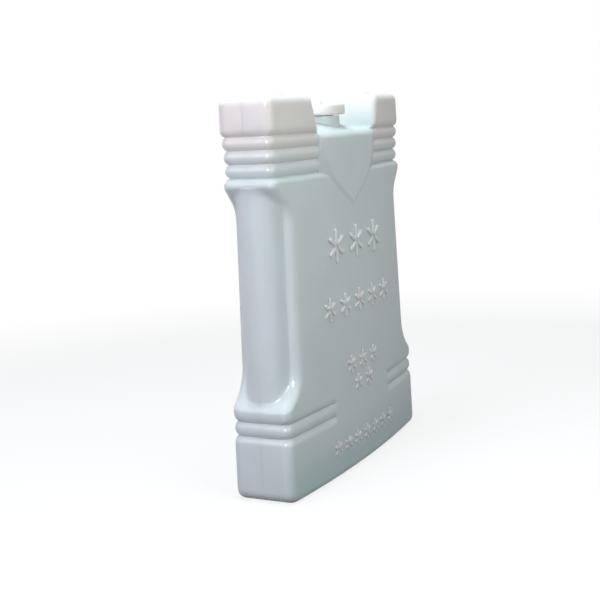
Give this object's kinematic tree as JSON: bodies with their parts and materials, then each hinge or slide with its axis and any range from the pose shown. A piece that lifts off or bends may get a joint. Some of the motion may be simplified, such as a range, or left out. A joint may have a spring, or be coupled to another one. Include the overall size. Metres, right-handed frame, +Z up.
{
  "type": "reusable ice pack",
  "caption": "Upright hard-shell freezer pack: a flat blow-moulded bottle with grooved bands, hollowed sides with half-round columns, and a filler plug in a top notch.",
  "frame": {"origin": "middle of the base, on the surface that the pack stands on", "axes": "+Z up, +X along the width, -Y out of the front face"},
  "size_m": [0.1348, 0.0348, 0.166],
  "materials": {
    "bottle": "milky blow-moulded polyethylene with a soft sheen",
    "plug": "warm white injection-moulded polyethylene"
  },
  "bodies": {
    "root": {"bottle": "bottle", "filler_plug": "plug"}
  },
  "joints": []
}
